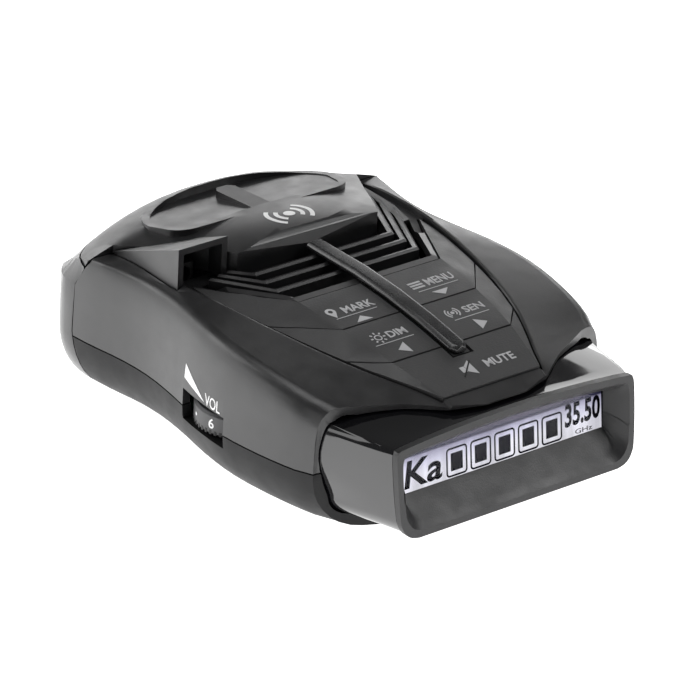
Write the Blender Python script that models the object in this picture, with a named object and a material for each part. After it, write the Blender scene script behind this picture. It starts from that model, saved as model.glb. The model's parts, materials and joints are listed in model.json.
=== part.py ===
"""Radar detector: a windscreen-mounted unit with a display at -Y and its antenna nose at +Y.

The frame is in metres with +Z up.  The origin is under the middle of the unit, on the plane that
its flat base rests on.  Dimensions below are written in millimetres and scaled once, in mesh_object.
Every piece of the product is one object, and its name is the piece's name.
"""
import math

import bmesh
import bpy
from mathutils import Vector

MM = 0.001
GAP = 0.3
WALL = 1.8

# Overall form: positions along Y
NOSE_Y = 52.85
RIM_Y = -52.85
COVER_SEAM_Y = 34.4
LENS_SEAM_Y = 38.0
NOSE_ARC_Y = 37.4
PARTING_Z = 12.0

# Half widths of the casing at its parting line, (y, half width)
WAIST = ((-47.3, 33.0), (-34.0, 35.0), (-31.0, 36.5), (-21.6, 38.3), (-11.6, 39.1), (-1.6, 38.2),
         (8.4, 36.3), (16.4, 35.3), (24.4, 35.4), (32.4, 36.4), (37.4, 36.8))
# Crown of the keypad deck: a parabola that peaks at DECK_PEAK_Y
DECK_PEAK_Y = 6.35
DECK_PEAK_Z = 32.3
DECK_FALL = 0.003
# Fold lines of the deck, (y, half width) and (y, height)
FOLD_X = ((-47.3, 11.0), (-42.8, 11.8), (-31.0, 14.7), (-18.8, 16.4), (-6.5, 17.7), (34.4, 18.0))
DECK_EDGE_X = ((-47.3, 11.4), (-42.8, 12.3), (-25.3, 20.8), (-8.0, 25.8), (11.4, 29.0), (34.4, 30.4))
DECK_EDGE_Z = ((-47.3, 23.2), (-42.8, 24.6), (-25.3, 27.3), (-8.0, 29.0), (11.4, 30.0), (34.4, 29.4))
SHOULDER_Z = ((-47.3, 22.0), (-34.0, 25.0), (-25.3, 27.1), (-8.0, 29.1), (8.0, 29.7), (34.4, 29.4))
SHOULDER_ROUND = ((-47.3, 4.6), (-25.0, 4.2), (-8.0, 4.2), (16.0, 3.6), (34.4, 1.2))
# Nose: height of the bevel's top edge and of the crown, and the bevel's width
RIDGE = ((-42.8, 0.1), (-25.3, 0.45), (-8.0, 0.8), (11.4, 1.0), (24.0, 1.1), (30.0, 0.8), (34.4, 0.15))
BEVEL_Z = ((34.4, 29.4), (42.5, 26.2), (48.0, 23.4), (52.85, 21.4))
BEVEL_X = ((34.4, 0.3), (38.0, 1.4), (42.5, 2.6), (52.85, 3.2))
CROWN_Z = ((9.0, 35.4), (15.2, 36.3), (20.0, 36.1), (27.0, 35.3), (36.0, 34.8), (42.0, 34.0),
           (45.5, 32.8), (49.0, 29.8), (51.4, 26.4), (52.85, 23.6))
KEEL_Z = ((34.4, 0.0), (44.0, 0.0), (49.0, 1.2), (52.0, 3.6), (52.85, 5.6))

# Keypad outline
PAD_FRONT_Y = -42.8
SPINE_HALF = 2.1
SPINE_TIP_Y = -34.0
SPINE_ROOT_Y = 10.4
BUTTON_THICK = 2.2
BUTTON_PROUD = 0.25
BUTTON_TRAVEL = 0.6
BOARD_TILT = math.radians(9.5)

# Top cover, its recess and the port hood
LIP_Y = 11.2
LIP_HALF = 17.4
NOTCH_X = 30.4
RECESS_FRONT_Y = 26.5
RECESS_BACK_Y = 43.4
RECESS_HALF = 21.4
HOOD_FRONT_Y = 13.05
HOOD_LEFT_X = -31.2
HOOD_RIGHT_X = -19.4
HOOD_TOP_Z = 38.6

# Volume wheel
WHEEL_X = -28.4
WHEEL_Y = -4.9
WHEEL_RADIUS = 9.5
WHEEL_LOW_Z = 9.6
WHEEL_HIGH_Z = 14.0
WINDOW_LOW = (-12.0, 9.2)
WINDOW_HIGH = (2.4, 15.7)

# Display
RIM_DEPTH = 1.7
BEZEL_WALL = 1.3
BEZEL_CROWN = ((-50.2, 23.1), (-47.3, 22.6), (-44.0, 23.4), (-38.0, 25.1), (-32.2, 26.5))

COLOURS = {
    "case": ((0.022, 0.022, 0.024, 1.0), 0.48, 0.0),
    "gloss": ((0.006, 0.006, 0.007, 1.0), 0.08, 0.0),
    "rubber": ((0.05, 0.05, 0.052, 1.0), 0.62, 0.0),
    "trim": ((0.16, 0.16, 0.165, 1.0), 0.35, 0.6),
    "clear": ((0.03, 0.03, 0.045, 1.0), 0.05, 0.0),
    "display": ((0.82, 0.82, 0.92, 1.0), 0.3, 0.0),
    "board": ((0.02, 0.13, 0.06, 1.0), 0.5, 0.0),
    "metal": ((0.62, 0.62, 0.64, 1.0), 0.3, 1.0),
    "steel": ((0.42, 0.42, 0.44, 1.0), 0.35, 1.0),
    "white": ((0.85, 0.85, 0.85, 1.0), 0.5, 0.0),
    "black_part": ((0.012, 0.012, 0.012, 1.0), 0.5, 0.0),
    "cone": ((0.03, 0.03, 0.03, 1.0), 0.8, 0.0),
}


# ---------------------------------------------------------------- curves

def curve(points, at):
    """Value at a station on a smooth curve through (station, value) points."""
    if at <= points[0][0]:
        return points[0][1]
    if at >= points[-1][0]:
        return points[-1][1]
    slopes = []
    for i, point in enumerate(points):
        low = points[max(i - 1, 0)]
        high = points[min(i + 1, len(points) - 1)]
        slopes.append((high[1] - low[1]) / (high[0] - low[0]))
    for i in range(len(points) - 1):
        (x0, y0), (x1, y1) = points[i], points[i + 1]
        if at <= x1:
            span = x1 - x0
            t = (at - x0) / span
            rise = (y1 - y0) * (3 * t * t - 2 * t ** 3)
            ease = slopes[i] * (t - 2 * t * t + t ** 3) + slopes[i + 1] * (t ** 3 - t * t)
            return y0 + rise + ease * span
    return points[-1][1]


def bezier(p0, p1, p2, p3, t):
    """Point at t on a cubic curve in the plane."""
    s = 1.0 - t
    weights = (s ** 3, 3 * s * s * t, 3 * s * t * t, t ** 3)
    corners = (p0, p1, p2, p3)
    return tuple(sum(w * p[i] for w, p in zip(weights, corners)) for i in (0, 1))


def arc(cx, cy, radius, start, end, steps):
    """Points on an arc from start to end, in degrees."""
    points = []
    for i in range(steps + 1):
        angle = math.radians(start + (end - start) * i / steps)
        points.append((cx + radius * math.cos(angle), cy + radius * math.sin(angle)))
    return points


def mirrored(half):
    """Closed outline from its right half, which may start or end on the centreline."""
    left = [(-x, y) for x, y in reversed(half) if x > 0.0]
    return list(half) + left


# ---------------------------------------------------------------- mesh helpers

def mesh_object(name, verts, faces):
    """New object from points in millimetres, with its faces turned outward."""
    mesh = bpy.data.meshes.new(name)
    mesh.from_pydata([Vector(v) * MM for v in verts], [], faces)
    work = bmesh.new()
    work.from_mesh(mesh)
    bmesh.ops.recalc_face_normals(work, faces=work.faces)
    if work.calc_volume(signed=True) < 0.0:
        bmesh.ops.reverse_faces(work, faces=work.faces)
    work.to_mesh(mesh)
    work.free()
    obj = bpy.data.objects.new(name, mesh)
    bpy.context.scene.collection.objects.link(obj)
    return obj


def loft(name, rings):
    """Closed solid through equal rings of points."""
    count = len(rings[0])
    verts = [point for ring in rings for point in ring]
    faces = []
    for r in range(len(rings) - 1):
        for i in range(count):
            j = (i + 1) % count
            low = r * count
            high = low + count
            faces.append((low + i, low + j, high + j, high + i))
    faces.append(tuple(range(count)))
    last = (len(rings) - 1) * count
    faces.append(tuple(last + i for i in range(count)))
    return mesh_object(name, verts, faces)


def prism(name, outline, low, high):
    """Plan outline extruded from low to high along Z."""
    rings = [[(x, y, z) for x, y in outline] for z in (low, high)]
    return loft(name, rings)


def sloped_prism(name, outline, low, high):
    """Plan outline extruded between two heights, each a number or a function of y."""
    rings = []
    for level in (low, high):
        rings.append([(x, y, level(y) if callable(level) else level) for x, y in outline])
    return loft(name, rings)


def plate_x(name, outline, low, high):
    """Outline in Y and Z extruded from low to high along X."""
    rings = [[(x, y, z) for y, z in outline] for x in (low, high)]
    return loft(name, rings)


def box(name, low, high):
    """Block between two corners."""
    (x0, y0, z0), (x1, y1, z1) = low, high
    return prism(name, ((x0, y0), (x1, y0), (x1, y1), (x0, y1)), z0, z1)


def drum(name, centre, profile, steps=24, axis="Z"):
    """Solid of revolution: profile is (radius, height) pairs along the axis from centre."""
    rings = []
    for radius, height in profile:
        ring = []
        for i in range(steps):
            angle = 2 * math.pi * i / steps
            u = radius * math.cos(angle)
            v = radius * math.sin(angle)
            offset = {"Z": (u, v, height), "Y": (u, height, v), "X": (height, u, v)}[axis]
            ring.append(tuple(c + o for c, o in zip(centre, offset)))
        rings.append(ring)
    return loft(name, rings)


def rounded_box(name, low, high, radius, steps=3):
    """Block whose upright edges are rounded."""
    (x0, y0, z0), (x1, y1, z1) = low, high
    outline = arc(x1 - radius, y1 - radius, radius, 0, 90, steps)
    outline += arc(x0 + radius, y1 - radius, radius, 90, 180, steps)
    outline += arc(x0 + radius, y0 + radius, radius, 180, 270, steps)
    outline += arc(x1 - radius, y0 + radius, radius, 270, 360, steps)
    return prism(name, outline, z0, z1)


def is_closed(mesh):
    """Whether a mesh is a closed solid that faces out."""
    work = bmesh.new()
    work.from_mesh(mesh)
    closed = all(edge.is_manifold for edge in work.edges) and work.calc_volume(signed=True) > 0.0
    work.free()
    return closed


def combine(target, others, operation):
    """Apply a Boolean of each other solid to the target, and remove the others."""
    modifier = target.modifiers.new("shape", "BOOLEAN")
    modifier.operation = operation
    for other in others:
        modifier.object = other
        for solver in ("EXACT", "MANIFOLD"):
            modifier.solver = solver
            bpy.context.view_layer.update()
            graph = bpy.context.evaluated_depsgraph_get()
            mesh = bpy.data.meshes.new_from_object(target.evaluated_get(graph))
            if is_closed(mesh):
                break
        old = target.data
        target.data = mesh
        bpy.data.meshes.remove(old)
        mesh.name = target.name
        bpy.data.objects.remove(other)
    target.modifiers.clear()
    return target


def cut(target, *others):
    """Take the other solids away from the target."""
    return combine(target, others, "DIFFERENCE")


def keep(target, *others):
    """Keep only what the target shares with each other solid."""
    return combine(target, others, "INTERSECT")


def join(target, *others):
    """Add the other solids to the target."""
    return combine(target, others, "UNION")


def finish(obj, colour, smooth=30.0):
    """Clean the mesh, give it its material and shade its curved faces smooth."""
    work = bmesh.new()
    work.from_mesh(obj.data)
    bmesh.ops.remove_doubles(work, verts=work.verts, dist=0.000004)
    bmesh.ops.dissolve_degenerate(work, dist=0.000002, edges=work.edges)
    work.to_mesh(obj.data)
    work.free()
    base, roughness, metallic = COLOURS[colour]
    material = bpy.data.materials.new(obj.name)
    material.use_nodes = True
    shader = material.node_tree.nodes["Principled BSDF"]
    shader.inputs["Base Color"].default_value = base
    shader.inputs["Roughness"].default_value = roughness
    shader.inputs["Metallic"].default_value = metallic
    obj.data.materials.clear()
    obj.data.materials.append(material)
    obj.data.shade_smooth()
    obj.data.set_sharp_from_angle(angle=math.radians(smooth))
    return obj


def set_origin(obj, point):
    """Move an object's origin to a point in millimetres and leave its shape in place."""
    shift = Vector(point) * MM
    for vert in obj.data.vertices:
        vert.co -= shift
    obj.location = shift
    return obj


# ---------------------------------------------------------------- the casing's form

def deck_crown(y):
    """Height of the keypad deck on the centreline."""
    if y >= DECK_PEAK_Y:
        return DECK_PEAK_Z
    return DECK_PEAK_Z - DECK_FALL * (DECK_PEAK_Y - y) ** 2


def deck_height(x, y):
    """Height of the keypad deck at a plan point: a flat crown with outer facets that fall away."""
    fold = curve(FOLD_X, y)
    edge = curve(DECK_EDGE_X, y)
    x = abs(x)
    if x <= fold:
        return deck_crown(y)
    return deck_crown(y) + (curve(DECK_EDGE_Z, y) - deck_crown(y)) * (x - fold) / (edge - fold)


def half_width(y):
    """Half width of the casing at its parting line."""
    if y <= NOSE_ARC_Y:
        return curve(WAIST, y)
    reach = (y - NOSE_ARC_Y) / (NOSE_Y - NOSE_ARC_Y)
    return 36.8 * max(1.0 - reach ** 2.8, 0.0) ** (1 / 2.8)


COARSE_ANGLES = (90, 72, 52, 32, 14, 0)
FINE_ANGLES = (90, 78, 66, 54, 42, 31, 20, 10, 0)
COARSE_SHARES = (0.3, 0.5, 0.65, 0.78, 0.89, 1.0)
FINE_SHARES = (0.3, 0.45, 0.56, 0.65, 0.73, 0.8, 0.87, 0.94, 1.0)
COARSE_ARCH = (0.93, 0.84, 0.72, 0.57, 0.38, 0.0)
FINE_ARCH = (0.96, 0.91, 0.85, 0.78, 0.7, 0.6, 0.48, 0.33, 0.16, 0.0)


def half_section(y, arched, fine=False):
    """Right half of the casing's section as (x, z): arched under the cover, or with shoulders."""
    wide = half_width(y)
    foot = max(wide - 9.2, wide * 0.7)
    keel = max(curve(KEEL_Z, y), 0.0)
    points = []
    for angle in FINE_ANGLES if fine else COARSE_ANGLES:
        phi = math.radians(angle)
        points.append((foot + (wide - foot) * math.cos(phi),
                       PARTING_Z - (PARTING_Z - keel) * math.sin(phi)))
    if not arched:
        shoulder = curve(SHOULDER_Z, y)
        radius = curve(SHOULDER_ROUND, y)
        edge_x = curve(DECK_EDGE_X, y)
        edge_z = curve(DECK_EDGE_Z, y)
        start = (wide, PARTING_Z)
        top = (wide - radius, shoulder + 0.3)
        for t in FINE_SHARES if fine else COARSE_SHARES:
            points.append(bezier(start, (wide + 0.3, shoulder - radius),
                                 (wide - 0.16 * radius, shoulder), top, t))
        ridge = max(curve(RIDGE, y), 0.1)
        points.append((edge_x + 0.9, edge_z + ridge))
        points.append((edge_x + 0.35, edge_z + ridge - 0.1))
        points.append((edge_x, edge_z))
        crown = deck_crown(y) if y < 9.0 else 29.4
        points.append((curve(FOLD_X, y), crown))
        points.append((0.0, crown))
        return points
    bevel_x = wide - curve(BEVEL_X, y) * min(1.0, wide / 20.0)
    bevel_z = curve(BEVEL_Z, y)
    crown = curve(CROWN_Z, y)
    low_z = min(23.0, bevel_z - 0.8)
    points.append((wide, PARTING_Z + 0.5 * (low_z - PARTING_Z)))
    points.append((wide - 0.1, low_z))
    points.append((bevel_x, bevel_z))
    for share in FINE_ARCH if fine else COARSE_ARCH:
        points.append((bevel_x * share, bevel_z + (crown - bevel_z) * (1 - share ** 2.3)))
    return points


def section_ring(y, arched, fine=False):
    """Closed section of the casing at y."""
    half = half_section(y, arched, fine)
    ring = [(x, y, z) for x, z in half]
    ring += [(-x, y, z) for x, z in reversed(half[:-1])]
    return ring


def inner_ring(ring, wall):
    """Section drawn in by the wall on every side."""
    wide = max(x for x, y, z in ring)
    low = min(z for x, y, z in ring)
    high = max(z for x, y, z in ring)
    squash = (high - low - 2 * wall) / (high - low)
    return [(x * (wide - wall) / wide, y, low + wall + (z - low) * squash) for x, y, z in ring]


SHOULDER_STATIONS = (-47.3, -43.0, -38.0, -34.0, -31.0, -26.0, -18.0, -11.0, -4.0, 3.0, 9.5, 16.5,
                     23.0, 29.0, 34.4, 38.0, 41.0)
FINE_STATIONS = (-47.3, -45.0, -42.0, -39.5, -37.0, -34.5, -32.5, -30.5, -28.0, -25.0, -22.0, -18.5, -15.0,
                 -11.5, -8.0, -4.5, -1.0, 2.5, 6.0, 9.5, 13.0, 16.5, 20.0, 23.5, 27.0, 30.5, 34.4, 38.0, 41.0)
NOSE_STATIONS = (33.0, 36.0, 38.0, 41.0, 44.0, 46.5, 48.5, 50.2, 51.4, 52.2, 52.65, 52.84)
FINE_NOSE = (33.0, 35.0, 37.0, 39.0, 41.0, 42.7, 44.3, 45.8, 47.2, 48.5, 49.6, 50.5, 51.3, 51.9, 52.4,
             52.7, 52.84)


def case_form(name, stations, arched):
    """Outside of the casing through the given stations."""
    return loft(name, [section_ring(y, arched, True) for y in stations])


def case_core(name, stations, arched, wall=WALL):
    """Inside of the casing: the form drawn in by the wall."""
    rings = []
    for y in stations:
        ring = inner_ring(section_ring(y, arched), wall)
        reach = y - wall * max(0.0, (y - stations[0]) / (NOSE_Y - stations[0]))
        rings.append([(x, reach, z) for x, py, z in ring])
    return loft(name, rings)


def deck_slab(name):
    """Slab that follows the keypad deck, from which the buttons are taken."""
    stations = (-44.5, -38.0, -31.0, -25.0, -18.5, -12.0, -5.0, 3.0, 13.5)
    rings = []
    for y in stations:
        fold = curve(FOLD_X, y)
        edge = curve(DECK_EDGE_X, y)
        spread = (-edge, -fold, 0.0, fold, edge)
        top = [(x, y, deck_height(x, y) + BUTTON_PROUD) for x in spread]
        low = [(x, y, z - BUTTON_THICK) for x, y, z in reversed(top)]
        rings.append(top + low)
    return loft(name, rings)


def pad_edge(low, high, steps, inset=0.4):
    """Points up the keypad's outer edge at +X."""
    points = []
    for i in range(steps + 1):
        y = low + (high - low) * i / steps
        points.append((curve(DECK_EDGE_X, y) - inset, y))
    return points


def fold_point(y, inset=0.0):
    """Point on the deck's fold line."""
    return (curve(FOLD_X, y) - inset, y)


# ---------------------------------------------------------------- zones that split the casing

def nose_zone(name, shift):
    """Everything ahead of the seam between the casing and the nose lens."""
    seam = ((COVER_SEAM_Y, 29.4), (LENS_SEAM_Y, 23.2), (LENS_SEAM_Y + 0.5, 13.0),
            (LENS_SEAM_Y - 0.6, 7.0), (LENS_SEAM_Y - 1.2, 2.4))
    outline = [(y + shift, z) for y, z in seam]
    outline += [(60.0, 2.4), (60.0, 45.0), (COVER_SEAM_Y + shift, 45.0)]
    return plate_x(name, outline, -45.0, 45.0)


def cover_rear_outline(grow):
    """Plan outline of the top cover behind its notches: an arch that follows the nose."""
    half = [(36.9 + grow, COVER_SEAM_Y - grow)]
    for angle in (6, 12, 19, 27, 36, 46, 57, 69, 80):
        phi = math.radians(angle)
        half.append(((36.0 + grow) * math.cos(phi) ** 0.85, COVER_SEAM_Y + (15.6 + grow) * math.sin(phi)))
    half.append((0.0, COVER_SEAM_Y + 15.6 + grow))
    return mirrored(half)


def cover_front_outline(grow, reach=1.2):
    """Plan outline of the top cover from its lip to its notches, and on past them by the reach."""
    half = ((LIP_HALF + 0.6 * grow, LIP_Y + 1.1 - grow), (NOTCH_X + grow, COVER_SEAM_Y - 0.4 * grow),
            (NOTCH_X + grow, COVER_SEAM_Y + reach))
    return mirrored(((0.0, LIP_Y - grow),) + half)


def cover_base(y):
    """Lowest level of the top cover behind its notches."""
    return max(29.5 - 1.3 * (y - COVER_SEAM_Y), 20.0)


def cover_zone(name, grow):
    """Space that the top cover takes, with the gap around it when it grows."""
    front = prism(name, cover_front_outline(grow), 29.7 - grow, 60.0)
    rear = sloped_prism("rear_zone", cover_rear_outline(grow), lambda y: cover_base(y) - 3.0 * grow, 60.0)
    return join(front, rear)


def cover_station(y):
    """Section of the cover's form: an arch over the full width."""
    wide = half_width(y)
    bevel_x = wide - curve(BEVEL_X, y) * min(1.0, wide / 20.0)
    bevel_z = curve(BEVEL_Z, y)
    crown = curve(CROWN_Z, y)
    points = [(bevel_x, 18.0), (bevel_x, bevel_z)]
    for share in (0.96, 0.91, 0.85, 0.78, 0.7, 0.6, 0.48, 0.33, 0.16):
        points.append((bevel_x * share, bevel_z + (crown - bevel_z) * (1 - share ** 2.3)))
    points.append((0.0, crown))
    return points


COVER_STATIONS = (9.0, 11.0, 13.0, 15.2, 18.0, 21.0, 24.0, 27.0, 30.0, 32.5, 34.4, 37.0, 39.5, 42.0, 44.0,
                  46.0, 47.6, 49.0, 50.2, 51.4)


def cover_form(name, lower=0.0):
    """Outside of the top cover, or the same surface lowered for its inside."""
    rings = []
    for y in COVER_STATIONS:
        half = cover_station(y)
        ring = [(x, y, z - lower) for x, z in half]
        ring += [(-x, py, z) for x, py, z in reversed(ring[:-1])]
        rings.append(ring)
    return loft(name, rings)


def brow_cut(name, grow=0.0):
    """Space in front of the casing's curved front edge."""
    half = [(5.0, -47.1), (11.8, -45.0), (19.0, -40.3), (29.0, -35.5), (34.4, -34.0), (45.0, -33.9)]
    front = [(45.0, -60.0), (-45.0, -60.0)]
    edge = [(x, y + grow) for x, y in half]
    outline = edge + front + [(-x, y) for x, y in reversed(edge)]
    return prism(name, outline, -5.0, 45.0)


def eased(points):
    """Half section with a point added to every span, so that its corners are rounded."""
    path = [(2 * points[0][0] - points[1][0], 2 * points[0][1] - points[1][1])] + points
    path.append((-points[-2][0], points[-2][1]))
    result = []
    for (ax, az), (bx, bz), (cx, cz), (dx, dz) in zip(path, path[1:], path[2:], path[3:]):
        result.append((bx, bz))
        result.append(((9 * (bx + cx) - ax - dx) / 16, (9 * (bz + cz) - az - dz) / 16))
    return result + [points[-1]]


def bezel_section(y, grow=0.0):
    """Right half of the display bezel's section, from its base to its crown."""
    t = (y + 50.2) / 16.25
    low = ((24.4, 4.2), (26.2, 4.6), (27.5, 5.5), (28.4, 7.0), (28.7, 8.6), (29.0, 13.0), (29.1, 17.5),
           (29.05, 20.2), (28.75, 21.3), (28.0, 21.8))
    high = ((27.0, 2.6), (29.0, 3.1), (30.6, 4.3), (31.4, 5.7), (31.8, 7.4), (33.5, 12.5), (33.8, 16.5),
            (33.0, 20.4), (32.2, 21.7), (31.2, 22.2))
    points = []
    for (x0, z0), (x1, z1) in zip(low, high):
        points.append((x0 + (x1 - x0) * t, z0 + (z1 - z0) * t))
    corner_x, corner_z = points[-1]
    crown = curve(BEZEL_CROWN, y)
    for share in (0.8, 0.55, 0.3, 0.0):
        points.append((corner_x * share, crown - (crown - corner_z) * share ** 2.2))
    return [(x + grow if x > 0 else 0.0, z + (grow if z > 12 else -grow)) for x, z in eased(points)]


def rim_y(z):
    """Front face of the rim, which leans back toward its top."""
    return RIM_Y + 0.13 * (z - 4.05)


def bezel_ring(y_of, y, grow):
    """Closed bezel section taken at y and laid where y_of puts each height."""
    ring = [(x, y_of(z), z) for x, z in bezel_section(y, grow)]
    return ring + [(-x, py, z) for x, py, z in reversed(ring[:-1])]


def bezel_loft(name, stations, grow=0.0, front=RIM_DEPTH):
    """Solid with the bezel's outside, from the back of the rim to the last station."""
    rings = [bezel_ring(lambda z: rim_y(z) + front, -50.2, grow)]
    for y in stations:
        rings.append(bezel_ring(lambda z, at=y: at, y, grow))
    return loft(name, rings)


# ---------------------------------------------------------------- outside pieces

def recess_outline(grow):
    """D-shaped recess of the top cover: straight in front, rounded behind."""
    half = [(0.0, RECESS_FRONT_Y - grow)]
    half += arc(RECESS_HALF - 4.0, RECESS_FRONT_Y + 3.2, 3.2 + grow, -90, -20, 5)
    for angle in (4, 14, 25, 36, 48, 60, 72, 82):
        phi = math.radians(angle)
        half.append(((RECESS_HALF + grow) * math.cos(phi) ** 0.8,
                     32.0 + (RECESS_BACK_Y - 32.0 + grow) * math.sin(phi)))
    half.append((0.0, RECESS_BACK_Y + grow))
    return mirrored(half)


def recess_floor(y):
    """Height of the recess floor, which falls toward the nose."""
    return 34.8 - 0.175 * (y - RECESS_FRONT_Y)


def make_top_cover():
    """Raised cover over the antenna, with the mount's recess, its locating rib and a front lip."""
    cover = keep(cover_form("top_cover"), cover_zone("zone", 0.0))
    hollow = cover_form("hollow", lower=WALL)
    inner = prism("inner", cover_rear_outline(-WALL), 18.0, 60.0)
    front = prism("front", cover_front_outline(-WALL, 4.0), 18.0, 60.0)
    cut(cover, keep(hollow, join(inner, front)))
    thick = sloped_prism("thick", recess_outline(1.6), lambda y: recess_floor(y) - 1.8,
                         lambda y: recess_floor(y) + 0.2)
    join(cover, thick)
    cut(cover, sloped_prism("recess", recess_outline(0.0), recess_floor, 45.0))
    rib_low = lambda y: recess_floor(y) - 0.6
    rib_top = lambda y: 35.0 - 0.06 * (y - RECESS_FRONT_Y)
    rib = ((-2.3, 25.4), (2.3, 25.4), (2.3, 38.2), (1.3, 39.4), (-1.3, 39.4), (-2.3, 38.2))
    join(cover, sloped_prism("rib", rib, rib_low, rib_top))
    lip = ((8.0, 32.9), (8.0, 42.0), (14.6, 42.0), (13.6, 35.95), (12.4, 35.1), (LIP_Y - 0.1, 32.9))
    cut(cover, plate_x("lip", lip, -30.0, 30.0))
    return finish(cover, "case")


def lens_band(name, shift, inner):
    """Nose lens zone between the casing's seam and the top cover's arch."""
    zone = nose_zone(name, shift)
    return cut(zone, cover_zone("cover_gap", inner))


def make_nose_lens():
    """Gloss window that wraps the antenna end."""
    lens = keep(case_form("nose_lens", FINE_NOSE, True), lens_band("zone", 0.0, GAP))
    core = case_core("hollow", (30.0,) + NOSE_STATIONS[:-2], True)
    return finish(cut(lens, core), "gloss")


def boss_positions():
    """Plan positions of the four case screws."""
    return ((-25.0, -24.0), (25.0, -24.0), (-22.0, 31.0), (22.0, 31.0))


def window_box(name):
    """Opening for the volume wheel in the left side."""
    return box(name, (-45.0, WINDOW_LOW[0], WINDOW_LOW[1]), (-30.0, WINDOW_HIGH[0], WINDOW_HIGH[1]))


def make_lower_case():
    """Lower shell with its screw bosses."""
    stations = SHOULDER_STATIONS[:-3] + NOSE_STATIONS
    shell = case_form("lower_case", FINE_STATIONS[:-3] + FINE_NOSE, True)
    keep(shell, box("half", (-45, -60, -5), (45, 60, PARTING_Z - 0.5 * GAP)))
    cut(shell, case_core("hollow", (-49.0,) + stations[1:-2], True))
    cut(shell, brow_cut("front"), nose_zone("nose", -GAP))
    cut(shell, bezel_loft("bezel_room", (-44.0, -38.0, -31.7), GAP))
    for x, y in boss_positions():
        join(shell, drum("boss", (x, y, 0.0), ((3.6, 0.9), (3.6, 11.6)), 12))
        cut(shell, drum("hole", (x, y, 0.0), ((1.6, -1.0), (1.6, 13.0)), 12))
        cut(shell, drum("seat", (x, y, 0.0), ((2.9, -1.0), (2.9, 2.4)), 12))
    cut(shell, window_box("window"))
    return finish(shell, "case")


def keypad_outline(grow):
    """Plan outline of the whole keypad."""
    half = [(0.0, PAD_FRONT_Y - 0.4 - grow)]
    half.append((curve(DECK_EDGE_X, PAD_FRONT_Y) + 0.17 + grow, PAD_FRONT_Y - 0.4 - grow))
    half += pad_edge(-38.0, 11.9, 9, -0.17 - grow)
    half += [(28.3, 13.1), (17.35, -6.3), (0.0, -6.3)]
    return mirrored(half)


def keypad_well(name):
    """Opening for the buttons, with the spine's tongue left standing in it."""
    well = prism(name, keypad_outline(0.0), 18.0, 45.0)
    tongue = box("tongue", (-SPINE_HALF, SPINE_TIP_Y, 10.0), (SPINE_HALF, 0.0, 50.0))
    return cut(well, tongue)


def louver_outline(inset):
    """Opening between the keypad and the top cover; on the left it stops at the port hood."""
    right = ((0.0, -4.6 + inset), (17.0 - inset, -4.6 + inset), (26.9 - inset, 13.6),
             (28.7 - inset, 20.0), (29.0 - 0.2 * inset, 30.3 - 1.8 * inset), (17.0, 15.0 - 1.6 * inset),
             (0.0, 14.0 - inset))
    left = ((-19.0, 14.0 - inset), (-19.0, 12.5 - inset), (-26.2 + inset, 12.5 - inset),
            (-17.0 + inset, -4.6 + inset))
    return right + left


def make_upper_case():
    """Upper shell: shoulders, keypad deck with its well, and the openings for cover and louvres."""
    shell = case_form("upper_case", FINE_STATIONS, False)
    keep(shell, box("half", (-45, -60, PARTING_Z + 0.5 * GAP), (45, 60, 60)))
    core = [inner_ring(section_ring(y, False), WALL) for y in SHOULDER_STATIONS]
    core[0] = [(x, -49.0, z) for x, y, z in core[0]]
    core[-1] = [(x, 43.0, z) for x, y, z in core[-1]]
    cut(shell, loft("hollow", core))
    cut(shell, brow_cut("front"), nose_zone("nose", -GAP), cover_zone("cover", GAP))
    cut(shell, keypad_well("well"))
    cut(shell, bezel_loft("bezel_room", (-44.0, -38.0, -31.7), GAP))
    for x, y in boss_positions():
        top = 26.2 if y < 0.0 else 28.6
        join(shell, drum("boss", (x, y, 0.0), ((3.2, PARTING_Z + 0.2), (3.2, top)), 12))
        cut(shell, drum("hole", (x, y, 0.0), ((1.45, 11.0), (1.45, 21.5)), 12))
    cut(shell, prism("louver_room", louver_outline(0.0), 20.0, 45.0))
    cut(shell, box("inlet_room", (-29.9, 16.6, 24.0), (-21.4, 23.4, 45.0)))
    cut(shell, prism("hood_room", hood_outline(GAP), 29.65, 45.0))
    cut(shell, window_box("window"))
    return finish(shell, "case")


def louver_path(corner_x, y, end, left_y):
    """Plan path of one louvre rib, from its left end to its right end."""
    end_x, end_y = end
    share = (left_y - y) / (end_y - y)
    left = (-(corner_x + (end_x - corner_x) * share), left_y)
    return (left, (-corner_x, y), (corner_x, y), end)


def rib_wall(name, path, thick, low, tops):
    """Upright strip along a path, with a top height at each point."""
    rings = []
    for i, (x, y) in enumerate(path):
        before = Vector(path[max(i - 1, 0)])
        after = Vector(path[min(i + 1, len(path) - 1)])
        along = (after - before).normalized()
        side = Vector((-along.y, along.x)) * thick * 0.5
        if 0 < i < len(path) - 1:
            side *= 1.12
        top = tops[i]
        rings.append([(x - side.x, y - side.y, low), (x + side.x, y + side.y, low),
                      (x + side.x, y + side.y, top - 0.25), (x - side.x * 0.2, y - side.y * 0.2, top),
                      (x - side.x, y - side.y, top - 0.35)])
    return loft(name, rings)


LOUVER_RIBS = ((17.0, 7.6, (28.9, 29.6), 32.3), (17.2, 4.0, (29.0, 25.8), 32.1),
               (17.3, 0.3, (29.0, 22.0), 31.8))


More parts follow.
